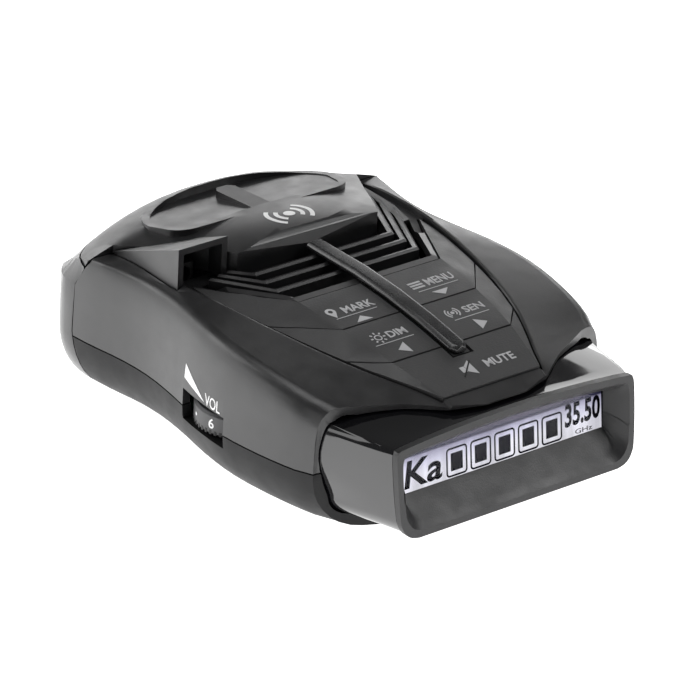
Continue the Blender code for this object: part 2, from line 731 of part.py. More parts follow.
def make_louver_grille():
    """Three nested ribs on a slotted floor, over the loudspeaker."""
    floor = prism("louver_grille", louver_outline(GAP), 26.6, 27.8)
    for row in range(3):
        y = -2.6 + 3.7 * row
        for side in (-1, 1):
            low, high = sorted((side * 3.2, side * 15.0))
            cut(floor, box("slot", (low, y, 20.0), (high, y + 1.5, 40.0)))
    for corner_x, y, end, top in LOUVER_RIBS:
        path = louver_path(corner_x, y, end, HOOD_FRONT_Y - 0.6)
        join(floor, rib_wall("rib", path, 1.3, 27.0, (top - 0.6, top, top, 30.2)))
    side = ((24.6, 13.2), (26.7, 13.2), (29.0, 19.8), (29.4, 31.0), (28.4, 31.0), (27.5, 27.0))
    join(floor, prism("side", side, 27.0, 30.4))
    keep(floor, prism("room", louver_outline(GAP), 20.0, 45.0))
    return finish(floor, "case")


def make_spine():
    """Raised bar on the centreline, from the cover's lip to the mute button."""
    rings = []
    for y in (SPINE_TIP_Y + 0.1, -32.6, -24.0, -14.0, -4.0, SPINE_ROOT_Y):
        wide = SPINE_HALF - (1.0 if y < -33.5 else 0.0)
        low = deck_crown(y) + GAP
        rings.append([(-wide, y, low), (wide, y, low), (wide, y, low + 0.7),
                      (wide - 0.8, y, low + 1.25), (-wide + 0.8, y, low + 1.25), (-wide, y, low + 0.7)])
    return finish(loft("spine", rings), "trim")


def hood_plane(y):
    """Height of the port hood's ramp."""
    return 29.4 + (HOOD_TOP_Z - 29.4) * (COVER_SEAM_Y - y) / (COVER_SEAM_Y - HOOD_FRONT_Y)


def hood_outline(grow):
    """Plan outline of the port hood."""
    return ((HOOD_LEFT_X - grow, HOOD_FRONT_Y - grow), (HOOD_RIGHT_X + grow, HOOD_FRONT_Y - grow),
            (HOOD_RIGHT_X + grow, 24.5 + grow), (-30.2 + grow, COVER_SEAM_Y - 0.6 + grow),
            (-31.0 - grow, COVER_SEAM_Y - 0.6 + grow))


def make_port_hood():
    """Ramped hood over the power inlet, open toward the driver."""
    hood = sloped_prism("port_hood", hood_outline(0.0), 30.0, lambda y: max(hood_plane(y), 30.3))
    cavity = ((HOOD_LEFT_X + 1.3, 10.0), (HOOD_RIGHT_X - 1.3, 10.0), (HOOD_RIGHT_X - 1.3, 17.0),
              (-24.6, 23.5), (HOOD_LEFT_X + 1.3, 27.0))
    cut(hood, sloped_prism("cavity", cavity, 28.0, lambda y: hood_plane(y) - 1.3))
    under = keep(cover_form("under", lower=-GAP), prism("plan", cover_front_outline(GAP), 20.0, 60.0))
    return finish(cut(hood, under), "case")


def make_bezel():
    """Gloss shroud that carries the display."""
    stations = (-46.0, -41.0, -36.0, -32.2)
    shroud = bezel_loft("display_bezel", stations)
    rings = [bezel_ring(lambda z: rim_y(z) - 2.0, -50.2, -BEZEL_WALL)]
    for y in stations[:-1] + (-31.0,):
        rings.append(bezel_ring(lambda z, at=y: at, y, -BEZEL_WALL))
    cut(shroud, loft("hollow", rings))
    return finish(cut(shroud, prism("keypad_room", keypad_outline(0.5), 15.0, 45.0)), "gloss")


def window_point(x, z):
    """Where the light hood's throat meets the display: a square-cornered opening."""
    side = math.copysign(min(abs(x) * 1.04, 25.0 + 0.01 * (z - 7.0)), x)
    height = max(9.2 + (z - 6.5) * 0.74, 10.7 - 0.002 * abs(x))
    return side, -47.6 + 0.12 * (height - 10.7), height


def make_display_rim():
    """Rim and light hood around the display window, plugged into the bezel."""
    flange = loft("display_rim", [bezel_ring(rim_y, -50.2, 0.15),
                                  bezel_ring(lambda z: rim_y(z) + RIM_DEPTH - GAP, -50.2, 0.15)])
    plug = loft("plug", [bezel_ring(lambda z: rim_y(z) + 1.0, -50.2, -BEZEL_WALL - GAP),
                         bezel_ring(lambda z: -47.4 + 0.12 * (z - 10.7), -50.2, -BEZEL_WALL - GAP)])
    join(flange, plug)
    mouth = bezel_ring(lambda z: rim_y(z) - 0.5, -50.2, -0.7)
    throat = bezel_ring(lambda z: rim_y(z) + 1.4, -50.2, -2.3)
    back = [window_point(x, z) for x, y, z in throat]
    through = [(x, y + 1.5, z) for x, y, z in back]
    return finish(cut(flange, loft("funnel", [mouth, throat, back, through])), "trim")


def leaning_plate(name, half, low, high, front, thick):
    """Upright plate that leans back with the display."""
    lean = 0.12
    rings = []
    for offset in (0.0, thick):
        ring = []
        for x, z in ((-half, low), (half, low), (half, high), (-half, high)):
            ring.append((x, front + offset + lean * (z - 10.7), z))
        rings.append(ring)
    return loft(name, rings)


def make_display():
    """Window, display glass, light guide and driver board, one behind the other."""
    finish(leaning_plate("display_lens", 26.3, 9.0, 19.6, -46.7, 1.0), "clear")
    finish(leaning_plate("lcd_module", 26.3, 9.0, 19.6, -45.4, 1.8), "display")
    finish(leaning_plate("backlight_panel", 26.0, 9.0, 18.6, -43.3, 1.2), "white")
    board = leaning_plate("display_board", 26.0, 8.4, 15.8, -41.8, 1.0)
    join(board, leaning_plate("driver", 8.0, 9.4, 14.4, -41.0, 1.4))
    finish(board, "board")
    ribbon = ((-40.3, 11.0), (-39.95, 11.0), (-38.7, 8.2), (-34.0, 6.2), (-30.9, 5.9), (-29.0, 5.9),
              (-29.0, 5.6), (-31.0, 5.6), (-34.2, 5.85), (-38.95, 7.9))
    finish(plate_x("display_ribbon", ribbon, 10.6, 19.4), "white")


# ---------------------------------------------------------------- controls

def button_outline(name):
    """Plan outline of a button at +X; the left-hand ones are mirrored from it."""
    inner = SPINE_HALF + 0.5
    rear, middle, front = -6.8, -18.6, -31.0
    if name == "menu":
        outline = [(inner, rear), (17.5, rear), (28.2, 12.2)]
        outline += list(reversed(pad_edge(-7.6, 8.0, 3)))
        outline += [fold_point(middle + 0.2), (inner, middle + 0.2)]
        return outline
    if name == "sen":
        outline = [(inner, middle - 0.2), fold_point(middle - 0.2, 0.1)]
        outline += list(reversed(pad_edge(-24.8, -8.2, 3)))
        outline += [fold_point(front + 0.2), (inner, front + 0.2)]
        return outline
    half = [(0.0, PAD_FRONT_Y)]
    half += [(11.9, PAD_FRONT_Y)]
    half += pad_edge(-38.0, -25.5, 3)
    half += [fold_point(front - 0.25, 0.1), (inner, front - 0.25), (inner, SPINE_TIP_Y - 0.5),
             (0.0, SPINE_TIP_Y - 0.5)]
    return mirrored(half)


BUTTONS = {
    "menu": (10.0, -13.4),
    "sen": (9.5, -24.8),
    "mark": (-10.0, -13.4),
    "dim": (-9.5, -24.8),
    "mute": (0.0, -37.0),
}


def board_height(y):
    """Top of the keypad board, which slopes with the deck."""
    return 20.2 + math.tan(BOARD_TILT) * (y + 25.0)


def tilted_drum(name, x, y, low, high, radius, steps=12):
    """Round post square to the keypad board, between two heights over it."""
    post = drum(name, (0.0, 0.0, 0.0), ((radius, low), (radius, high)), steps)
    return lean_with_board(post, x, y)


def lean_with_board(obj, x, y):
    """Turn a piece modelled on the origin so that it stands on the keypad board."""
    turn = BOARD_TILT
    for vert in obj.data.vertices:
        px, py, pz = vert.co
        vert.co = (px + x * MM,
                   py * math.cos(turn) - pz * math.sin(turn) + y * MM,
                   py * math.sin(turn) + pz * math.cos(turn) + board_height(y) * MM)
    return obj


def make_buttons():
    """Five buttons, each with its stem and its tactile switch."""
    for name, (x, y) in BUTTONS.items():
        outline = button_outline("menu" if name == "mark" else "sen" if name == "dim" else name)
        if x < 0.0:
            outline = [(-px, py) for px, py in reversed(outline)]
        button = keep(deck_slab("button_" + name), prism("plan", outline, 10.0, 50.0))
        reach = (deck_height(x, y) - board_height(y)) * math.cos(BOARD_TILT) - 1.0
        join(button, tilted_drum("stem", x, y, 3.9 + BUTTON_TRAVEL + 0.05, reach, 1.6, 10))
        set_origin(button, (x, y, board_height(y) + 3.9))
        finish(button, "rubber")
        switch = rounded_box("switch_" + name, (-3.0, -3.0, GAP), (3.0, 3.0, 3.1), 0.6, 2)
        join(switch, drum("plunger", (0, 0, 0), ((1.7, 2.9), (1.7, 3.9)), 12))
        finish(lean_with_board(switch, x, y), "black_part")


def make_keypad_board():
    """Sloping board that carries the five switches."""
    half = ((0.0, -40.4), (9.5, -40.4), (17.0, -30.0), (17.0, -9.4), (0.0, -9.4))
    board = sloped_prism("keypad_board", mirrored(half), lambda y: board_height(y) - 1.2, board_height)
    return finish(board, "board")


def make_volume_wheel():
    """Thumbwheel pressed on the volume control's upright spindle."""
    profile = ((WHEEL_RADIUS - 0.5, WHEEL_LOW_Z), (WHEEL_RADIUS, WHEEL_LOW_Z + 0.5),
               (WHEEL_RADIUS, WHEEL_HIGH_Z - 0.5), (WHEEL_RADIUS - 0.5, WHEEL_HIGH_Z))
    axis = (WHEEL_X, WHEEL_Y, 0.0)
    middle = (WHEEL_X, WHEEL_Y, 0.5 * (WHEEL_LOW_Z + WHEEL_HIGH_Z))
    wheel = drum("volume_wheel", axis, profile, 48)
    cut(wheel, drum("bore", axis, ((1.55, 5.0), (1.55, 20.0)), 16))
    finish(set_origin(wheel, middle), "black_part")
    spindle = drum("volume_spindle", axis, ((1.5, 6.5), (1.5, WHEEL_HIGH_Z + 0.8)), 16)
    finish(set_origin(spindle, middle), "metal")
    control = box("volume_control", (WHEEL_X - 5.0, WHEEL_Y - 5.5, 5.5), (WHEEL_X + 5.5, WHEEL_Y + 5.5, 9.2))
    finish(cut(control, drum("socket", axis, ((1.58, 6.1), (1.58, 12.0)), 16)), "steel")


# ---------------------------------------------------------------- inside pieces

def make_main_board():
    """Main circuit board with its larger packages."""
    half = ((0.0, -31.9), (22.0, -31.9), (28.6, -22.0), (30.0, -8.0), (28.0, 10.0), (27.0, 22.0),
            (28.0, 35.5), (0.0, 35.5))
    board = prism("main_board", mirrored(half), 3.6, 5.2)
    for low, high in (((-8, -26, 5.0), (4, -14, 6.6)), ((8, -24, 5.0), (16, -18, 6.4)),
                      ((-10, -31.4, 5.0), (10, -27.6, 7.0)), ((10, -10, 5.0), (17, -7, 6.5))):
        join(board, box("package", low, high))
    for x, y in boss_positions():
        cut(board, drum("notch", (x, y, 0.0), ((4.2, 0.0), (4.2, 9.0)), 12))
    return finish(board, "board")


def horn_ring(y, half, low, high):
    """Rectangular section of the horn."""
    return [(-half, y, low), (half, y, low), (half, y, high), (-half, y, high)]


def make_horn():
    """Microwave horn that faces the nose, with its waveguide throat."""
    horn = loft("horn_antenna", [horn_ring(14.0, 9.0, 7.0, 17.0), horn_ring(20.0, 9.0, 7.0, 17.0),
                                 horn_ring(43.0, 19.5, 6.6, 26.0)])
    flare = loft("flare", [horn_ring(15.4, 7.4, 8.6, 15.4), horn_ring(20.0, 7.4, 8.6, 15.4),
                           horn_ring(43.6, 18.0, 7.9, 24.8)])
    join(horn, box("foot", (-10.0, 14.0, 5.5), (10.0, 34.0, 7.2)))
    return finish(cut(horn, flare), "metal")


def make_receiver():
    """Shield over the receiver and the laser sensor beside the horn."""
    finish(rounded_box("receiver_shield", (-15.0, -5.5, 5.5), (15.0, 13.5, 12.5), 1.5), "steel")
    sensor = box("laser_sensor", (22.0, 36.8, 8.0), (29.0, 41.0, 16.0))
    join(sensor, drum("eye", (25.5, 0.0, 12.0), ((2.6, 40.5), (2.6, 42.2), (1.4, 43.4)), 16, "Y"))
    finish(sensor, "black_part")


def make_speaker():
    """Small loudspeaker under the louvres: basket, cone and magnet."""
    centre = (0.0, 4.5, 0.0)
    basket = ((7.0, 19.2), (7.6, 19.2), (13.4, 24.4), (14.2, 24.4), (14.2, 25.6), (12.4, 25.6),
              (12.4, 24.9), (6.9, 20.2))
    finish(drum("speaker_frame", centre, basket, 24), "steel")
    cone = ((5.0, 20.6), (6.0, 20.6), (12.0, 25.3), (12.0, 25.7), (11.0, 25.7), (5.0, 21.6))
    finish(drum("speaker_cone", centre, cone, 24), "cone")
    finish(drum("speaker_magnet", centre, ((6.5, 13.8), (6.5, 18.9)), 24), "steel")


def make_inlet():
    """Power inlet on its riser board under the hood."""
    jack = box("power_jack", (-29.4, 17.2, 27.6), (-24.2, 22.4, 33.0))
    cut(jack, drum("bore", (-26.7, 0.0, 30.6), ((1.8, 10.0), (1.8, 21.6)), 16, "Y"))
    join(jack, drum("pin", (-26.7, 0.0, 30.6), ((0.5, 18.0), (0.5, 22.0)), 8, "Y"))
    finish(jack, "black_part")
    finish(box("inlet_board", (-29.0, 15.0, 25.8), (-21.0, 27.0, 27.3)), "board")


def make_mount_plate():
    """Steel keeper under the recess floor, which the mount's magnet holds."""
    outline = arc(9.0, 31.5, 3.5, -90, 0, 3) + arc(9.0, 37.0, 3.5, 0, 90, 3)
    outline += arc(-9.0, 37.0, 3.5, 90, 180, 3) + arc(-9.0, 31.5, 3.5, 180, 270, 3)
    plate = sloped_prism("mount_plate", outline, lambda y: recess_floor(y) - 3.3,
                         lambda y: recess_floor(y) - 2.1)
    finish(plate, "steel")


def make_screws():
    """Four case screws, driven up from the base."""
    for label, (x, y) in zip(("front_left", "front_right", "nose_left", "nose_right"), boss_positions()):
        profile = ((2.5, 0.5), (2.5, 2.1), (1.15, 2.1), (1.15, 20.5))
        screw = drum("case_screw_" + label, (x, y, 0.0), profile, 12)
        for turn in (0, 1):
            size = (1.6, 0.35) if turn else (0.35, 1.6)
            cut(screw, box("cross", (x - size[0], y - size[1], -1.0), (x + size[0], y + size[1], 1.4)))
        finish(screw, "steel")


def reset_scene():
    """Remove what the scene holds."""
    for obj in list(bpy.data.objects):
        bpy.data.objects.remove(obj)


def main():
    """Build every piece of the detector."""
    reset_scene()
    make_lower_case()
    make_upper_case()
    make_top_cover()
    make_nose_lens()
    make_bezel()
    make_display_rim()
    make_display()
    make_louver_grille()
    make_spine()
    make_port_hood()
    make_buttons()
    make_keypad_board()
    make_volume_wheel()
    make_main_board()
    make_horn()
    make_receiver()
    make_speaker()
    make_inlet()
    make_mount_plate()
    make_screws()


main()
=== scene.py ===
"""Looks of the radar detector: materials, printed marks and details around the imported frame."""
import json
import math

import bmesh
import bpy
from mathutils import Matrix, Vector
from mathutils.bvhtree import BVHTree


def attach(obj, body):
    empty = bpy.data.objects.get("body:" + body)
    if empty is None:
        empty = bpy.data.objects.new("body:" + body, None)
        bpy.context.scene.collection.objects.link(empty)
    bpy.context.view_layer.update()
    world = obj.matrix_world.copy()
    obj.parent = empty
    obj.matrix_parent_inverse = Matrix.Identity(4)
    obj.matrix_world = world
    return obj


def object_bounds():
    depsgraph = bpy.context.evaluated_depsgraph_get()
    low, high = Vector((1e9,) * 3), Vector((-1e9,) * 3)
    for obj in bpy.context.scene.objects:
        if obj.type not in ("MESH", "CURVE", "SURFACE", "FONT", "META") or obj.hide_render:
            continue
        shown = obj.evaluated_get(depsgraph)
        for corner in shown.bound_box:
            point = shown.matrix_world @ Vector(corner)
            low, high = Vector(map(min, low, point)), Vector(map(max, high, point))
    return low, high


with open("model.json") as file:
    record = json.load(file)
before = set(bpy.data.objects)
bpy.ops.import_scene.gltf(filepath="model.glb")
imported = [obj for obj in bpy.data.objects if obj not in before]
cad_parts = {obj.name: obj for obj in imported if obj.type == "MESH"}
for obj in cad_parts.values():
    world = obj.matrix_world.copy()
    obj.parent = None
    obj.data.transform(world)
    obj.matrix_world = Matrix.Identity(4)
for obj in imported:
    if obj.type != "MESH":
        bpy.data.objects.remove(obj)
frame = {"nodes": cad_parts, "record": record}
cad_low, cad_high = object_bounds()
NODES = frame["nodes"]
MM = 0.001

# Camera, fitted to the photograph; degrees, metres, and millimetres for the lens
AZIMUTH, ELEVATION, ROLL = 40.58, 25.86, 2.96
AIM = (0.0, 0.00135, 0.015)
DISTANCE = 1.004
FOCAL_LENGTH = 267.17
SENSOR_WIDTH = 36.0
SHIFT_X, SHIFT_Y = 0.015, -0.0077
CLIP_START = 0.01

# Studio, in metres and watts. The floor lies just under the flat base, so the two don't flicker.
WORLD_STRENGTH = 0.1
FLOOR_HALF = 3.0
FLOOR_DROP = 0.00005
FLOOR_GLOW = 1.3
FLOOR_GREY = 0.92
LIGHTS = (("key", (-0.1, 0.15, 1.25), (0.0, 0.0, 0.0), (0.7, 0.7), 3.0),
          ("left_wall", (-0.75, 0.85, 0.3), (0.0, 0.0, 0.02), (1.4, 0.6), 4.0),
          ("left_front", (-0.9, -0.5, 0.35), (0.0, 0.0, 0.02), (0.7, 0.5), 1.0),
          ("back_left", (-0.6, 0.9, 0.85), (0.0, 0.0, 0.02), (0.5, 0.5), 2.5),
          ("back_low", (0.72, 1.08, 0.24), (0.0, 0.0, 0.02), (1.0, 0.28), 2.4),
          ("right_back", (0.98, 0.7, 0.48), (0.0, 0.0, 0.02), (0.5, 0.4), 1.2),
          ("edge_light", (0.75, -0.5, 0.85), (0.0, 0.0, 0.02), (0.5, 0.5), 5.0))

# Finishes: depth of the grain in metres, and scales of the noise for colour and for gloss
GRAIN_DEPTH = 0.00008
DRIFT_SCALE = 60.0
WEAR_SCALE = 240.0

# Edges: easing in millimetres, and the angle in degrees above which an edge is eased
EDGE_EASE = 0.12
EDGE_ANGLE = 30.0
KEY_EASE = 0.25
EASED = {
    "spine": 0.4, "nose_lens": 0.5, "top_cover": 0.2, "display_rim": 0.2,
    "button_menu": KEY_EASE, "button_sen": KEY_EASE, "button_mark": KEY_EASE,
    "button_dim": KEY_EASE, "button_mute": KEY_EASE,
    "display_lens": 0.0, "lcd_module": 0.0,
}

# Prints, in millimetres. A longer edge than PRINT_REACH is split, so the print follows its surface.
PRINT_LIFT = 0.015
PRINT_THICK = 0.035
PRINT_REACH = 0.7
SPLIT_ROUNDS = 5
TEXT_WEIGHT = 0.02
RULE_WIDTH = 0.16
RAY_START = 80.0
SPARE_TOP_Z = 30.0
SPARE_SIDE_X = -38.2
WHEEL_X = -28.4
WHEEL_Y = -4.9
WHEEL_RADIUS = 9.5
WHEEL_PITCH = 60.0
# Grip notches of the wheel, laid on as dark ticks: painted shade for their grooves.
NOTCH_COUNT = 52
NOTCH_HALF = 0.27
NOTCH_LOW, NOTCH_HIGH = 9.75, 10.6
LCD_BASE = 9.37
LCD_TOP = 19.6
LCD_FACE_Y = -45.4
LCD_LEAN = 0.12
LCD_PIVOT_Z = 10.7

# Level boxes of the display, in millimetres from the panel's foot
BOX_COUNT = 5
BOX_LEFT = -12.45
BOX_PITCH = 5.9
BOX_WIDTH = 5.15
BOX_FOOT, BOX_TOP = 0.35, 6.1
BOX_CORNER = 0.8
BOX_LINE = 0.36
BOX_FILL_INSET = 1.12


# ---------------------------------------------------------------- camera, floor and light

def place_camera():
    """Camera at the photograph's angle."""
    azimuth, elevation, roll = (math.radians(v) for v in (AZIMUTH, ELEVATION, ROLL))
    level = math.cos(elevation)
    forward = Vector((math.sin(azimuth) * level, math.cos(azimuth) * level, -math.sin(elevation)))
    right = Vector((math.cos(azimuth), -math.sin(azimuth), 0.0))
    up = right.cross(forward)
    side = right * math.cos(roll) + up * math.sin(roll)
    top = -right * math.sin(roll) + up * math.cos(roll)
    data = bpy.data.cameras.new("camera")
    data.sensor_width = SENSOR_WIDTH
    data.lens = FOCAL_LENGTH
    data.shift_x = SHIFT_X
    data.shift_y = SHIFT_Y
    data.clip_start = CLIP_START
    camera = bpy.data.objects.new("camera", data)
    bpy.context.scene.collection.objects.link(camera)
    place = Matrix((side, top, -forward)).transposed().to_4x4()
    place.translation = Vector(AIM) - forward * DISTANCE
    camera.matrix_world = place
    bpy.context.scene.camera = camera


def area_light(name, place, target, size, power):
    """Soft rectangular light turned toward a point."""
    data = bpy.data.lights.new(name, "AREA")
    data.shape = "RECTANGLE"
    data.size, data.size_y = size
    data.energy = power
    lamp = bpy.data.objects.new(name, data)
    bpy.context.scene.collection.objects.link(lamp)
    lamp.location = place
    lamp.rotation_euler = (Vector(target) - Vector(place)).to_track_quat("-Z", "Y").to_euler()


def light_scene():
    """Pale floor, dim surroundings and soft studio lights."""
    world = bpy.data.worlds.new("studio")
    bpy.context.scene.world = world
    world.use_nodes = True
    sky = world.node_tree.nodes["Background"]
    sky.inputs["Color"].default_value = (1.0, 1.0, 1.0, 1.0)
    sky.inputs["Strength"].default_value = WORLD_STRENGTH
    for name, place, target, size, power in LIGHTS:
        area_light(name, place, target, size, power)
    mesh = bpy.data.meshes.new("floor")
    level = cad_low[2] - FLOOR_DROP
    corners = [(-FLOOR_HALF, -FLOOR_HALF, level), (FLOOR_HALF, -FLOOR_HALF, level),
               (FLOOR_HALF, FLOOR_HALF, level), (-FLOOR_HALF, FLOOR_HALF, level)]
    mesh.from_pydata(corners, [], [(0, 1, 2, 3)])
    floor = bpy.data.objects.new("floor", mesh)
    bpy.context.scene.collection.objects.link(floor)
    material = bpy.data.materials.new("floor")
    material.use_nodes = True
    shader = material.node_tree.nodes["Principled BSDF"]
    shader.inputs["Base Color"].default_value = (FLOOR_GREY, FLOOR_GREY, FLOOR_GREY, 1.0)
    shader.inputs["Roughness"].default_value = 0.9
    shader.inputs["Emission Color"].default_value = (1.0, 1.0, 1.0, 1.0)
    shader.inputs["Emission Strength"].default_value = FLOOR_GLOW
    mesh.materials.append(material)
    bpy.context.scene.view_settings.view_transform = "Standard"


# ---------------------------------------------------------------- materials

def add_noise(tree, coords, scale, detail):
    """Noise in object space."""
    node = tree.nodes.new("ShaderNodeTexNoise")
    node.inputs["Scale"].default_value = scale
    node.inputs["Detail"].default_value = detail
    tree.links.new(coords.outputs["Object"], node.inputs["Vector"])
    return node.outputs["Fac"]


def spread_out(tree, source, low, high):
    """Noise stretched onto the range from low to high."""
    node = tree.nodes.new("ShaderNodeMapRange")
    node.inputs["From Min"].default_value = 0.3
    node.inputs["From Max"].default_value = 0.7
    node.inputs["To Min"].default_value = low
    node.inputs["To Max"].default_value = high
    tree.links.new(source, node.inputs["Value"])
    return node.outputs["Result"]


def finish_of(name, colour, rough, bump=0.0, scale=5200.0, spread=0.05, specular=0.5,
              metallic=0.0, coat=0.0, drift=0.12, clear=0.0, ior=1.5):
    """Moulded, printed or metal finish with a fine grain, faint colour drift and uneven gloss."""
    material = bpy.data.materials.new(name)
    material.use_nodes = True
    tree = material.node_tree
    shader = tree.nodes["Principled BSDF"]
    shader.inputs["Metallic"].default_value = metallic
    shader.inputs["Specular IOR Level"].default_value = specular
    shader.inputs["Coat Weight"].default_value = coat
    shader.inputs["Transmission Weight"].default_value = clear
    shader.inputs["IOR"].default_value = ior
    coords = tree.nodes.new("ShaderNodeTexCoord")
    mix = tree.nodes.new("ShaderNodeMix")
    mix.data_type = "RGBA"
    tree.links.new(add_noise(tree, coords, DRIFT_SCALE, 3.0), mix.inputs["Factor"])
    mix.inputs[6].default_value = tuple(c * (1.0 - drift) for c in colour) + (1.0,)
    mix.inputs[7].default_value = tuple(min(c * (1.0 + drift), 1.0) for c in colour) + (1.0,)
    tree.links.new(mix.outputs[2], shader.inputs["Base Color"])
    wear = add_noise(tree, coords, WEAR_SCALE, 4.0)
    gloss = spread_out(tree, wear, max(rough - spread, 0.002), rough + spread)
    tree.links.new(gloss, shader.inputs["Roughness"])
    if bump > 0.0:
        node = tree.nodes.new("ShaderNodeBump")
        node.inputs["Strength"].default_value = bump
        node.inputs["Distance"].default_value = GRAIN_DEPTH
        tree.links.new(add_noise(tree, coords, scale, 2.0), node.inputs["Height"])
        tree.links.new(node.outputs["Normal"], shader.inputs["Normal"])
    return material


def lit_panel():
    """Backlit display: bright below, shading toward its top, with a dark printed band above."""
    material = bpy.data.materials.new("lit_display")
    material.use_nodes = True
    tree = material.node_tree
    shader = tree.nodes["Principled BSDF"]
    shader.inputs["Base Color"].default_value = (0.02, 0.02, 0.03, 1.0)
    shader.inputs["Roughness"].default_value = 0.3
    shader.inputs["Emission Strength"].default_value = 0.95
    coords = tree.nodes.new("ShaderNodeTexCoord")
    split = tree.nodes.new("ShaderNodeSeparateXYZ")
    tree.links.new(coords.outputs["Object"], split.inputs["Vector"])
    height = tree.nodes.new("ShaderNodeMapRange")
    height.inputs["From Min"].default_value = LCD_BASE * MM
    height.inputs["From Max"].default_value = LCD_TOP * MM
    tree.links.new(split.outputs["Z"], height.inputs["Value"])
    ramp = tree.nodes.new("ShaderNodeValToRGB")
    stops = ((0.0, (0.95, 0.95, 1.0)), (0.3, (0.9, 0.9, 0.98)), (0.5, (0.7, 0.7, 0.84)),
             (0.66, (0.36, 0.35, 0.48)), (0.69, (0.02, 0.02, 0.05)), (0.72, (0.02, 0.02, 0.05)),
             (0.75, (0.08, 0.07, 0.11)), (1.0, (0.05, 0.045, 0.075)))
    while len(ramp.color_ramp.elements) < len(stops):
        ramp.color_ramp.elements.new(0.5)
    for element, (at, colour) in zip(ramp.color_ramp.elements, stops):
        element.position = at
        element.color = colour + (1.0,)
    tree.links.new(height.outputs["Result"], ramp.inputs["Fac"])
    stretch = tree.nodes.new("ShaderNodeMapping")
    stretch.inputs["Scale"].default_value = (1.0, 0.0, 0.06)
    tree.links.new(coords.outputs["Object"], stretch.inputs["Vector"])
    streaks = tree.nodes.new("ShaderNodeTexNoise")
    streaks.inputs["Scale"].default_value = 420.0
    streaks.inputs["Detail"].default_value = 2.0
    tree.links.new(stretch.outputs["Vector"], streaks.inputs["Vector"])
    shade = spread_out(tree, streaks.outputs["Fac"], 0.72, 1.08)
    mix = tree.nodes.new("ShaderNodeMix")
    mix.data_type = "RGBA"
    mix.blend_type = "MULTIPLY"
    mix.inputs["Factor"].default_value = 1.0
    tree.links.new(ramp.outputs["Color"], mix.inputs[6])
    tree.links.new(shade, mix.inputs[7])
    tree.links.new(mix.outputs[2], shader.inputs["Emission Color"])
    return material


def coat_node(name, material, bevel):
    """Give a CAD node its finish, with its edges eased by so many millimetres."""
    obj = NODES[name]
    obj.data.materials.clear()
    obj.data.materials.append(material)
    weld = obj.modifiers.new("weld", "WELD")
    weld.merge_threshold = 0.000002
    if bevel > 0.0:
        ease = obj.modifiers.new("ease", "BEVEL")
        ease.width = bevel * MM
        ease.segments = 2
        ease.limit_method = "ANGLE"
        ease.angle_limit = math.radians(EDGE_ANGLE)
        ease.harden_normals = False
        ease.use_clamp_overlap = True
    obj.data.shade_smooth()
    even = obj.modifiers.new("even", "WEIGHTED_NORMAL")
    even.mode = "FACE_AREA_WITH_ANGLE"
    even.keep_sharp = False


# ---------------------------------------------------------------- flat shapes, in millimetres

def fan(points):
    """Filled polygon."""
    return [tuple(p) for p in points], [tuple(range(len(points)))]


def ribbon(outer, inner, closed=True):
    """Band between two paths of equal length."""
    count = len(outer)
    verts = [tuple(p) for p in outer] + [tuple(p) for p in inner]
    last = count if closed else count - 1
    faces = []
    for i in range(last):
        j = (i + 1) % count
        faces.append((i, j, count + j, count + i))
    return verts, faces


def round_path(cx, cy, radius, start=0.0, end=360.0, steps=20):
    """Points along an arc."""
    points = []
    for i in range(steps):
        share = i / steps if end - start >= 360.0 else i / (steps - 1)
        angle = math.radians(start + (end - start) * share)
        points.append((cx + radius * math.cos(angle), cy + radius * math.sin(angle)))
    return points


def ring(cx, cy, radius, width, start=0.0, end=360.0, steps=20):
    """Circular band, whole or part."""
    whole = end - start >= 360.0
    outer = round_path(cx, cy, radius, start, end, steps)
    inner = round_path(cx, cy, radius - width, start, end, steps)
    return ribbon(outer, inner, whole)


def line(x0, y0, x1, y1, width):
    """Straight stroke."""
    length = math.hypot(x1 - x0, y1 - y0)
    dx, dy = -(y1 - y0) / length * width / 2, (x1 - x0) / length * width / 2
    return fan([(x0 - dx, y0 - dy), (x1 - dx, y1 - dy), (x1 + dx, y1 + dy), (x0 + dx, y0 + dy)])


def frame_path(x0, y0, x1, y1, radius, inset=0.0):
    """Rounded rectangle, drawn inset from its edges."""
    steps = 4
    r = max(radius - inset, 0.05)
    left, right = x0 + inset + r, x1 - inset - r
    foot, top = y0 + inset + r, y1 - inset - r
    points = []
    for cx, cy, turn in ((right, top, 0), (left, top, 90), (left, foot, 180), (right, foot, 270)):
        for i in range(steps + 1):
            angle = math.radians(turn + 90.0 * i / steps)
            points.append((cx + r * math.cos(angle), cy + r * math.sin(angle)))
    return points


def word(text, left, base, width, height, weight=TEXT_WEIGHT, slant=0.0):
    """Letters fitted into a box, as flat faces."""
    curve = bpy.data.curves.new("word", "FONT")
    curve.body = text
    curve.size = 1.0
    curve.offset = weight
    curve.resolution_u = 3
    holder = bpy.data.objects.new("word", curve)
    bpy.context.scene.collection.objects.link(holder)
    bpy.context.view_layer.update()
    solid = holder.evaluated_get(bpy.context.evaluated_depsgraph_get())
    mesh = bpy.data.meshes.new_from_object(solid)
    points = [(v.co.x, v.co.y) for v in mesh.vertices]
    faces = [tuple(p.vertices) for p in mesh.polygons]
    bpy.data.objects.remove(holder)
    bpy.data.curves.remove(curve)
    bpy.data.meshes.remove(mesh)
    low_x, high_x = min(p[0] for p in points), max(p[0] for p in points)
    low_y, high_y = min(p[1] for p in points), max(p[1] for p in points)
    fitted = []
    for x, y in points:
        up = (y - low_y) / (high_y - low_y) * height
        fitted.append((left + (x - low_x) / (high_x - low_x) * width + slant * up, base + up))
    return fitted, faces


# ---------------------------------------------------------------- shapes laid on surfaces

def surface_of(node):
    """Search tree over a CAD node, in millimetres."""
    mesh = NODES[node].data
    verts = [v.co / MM for v in mesh.vertices]
    return BVHTree.FromPolygons(verts, [tuple(p.vertices) for p in mesh.polygons])


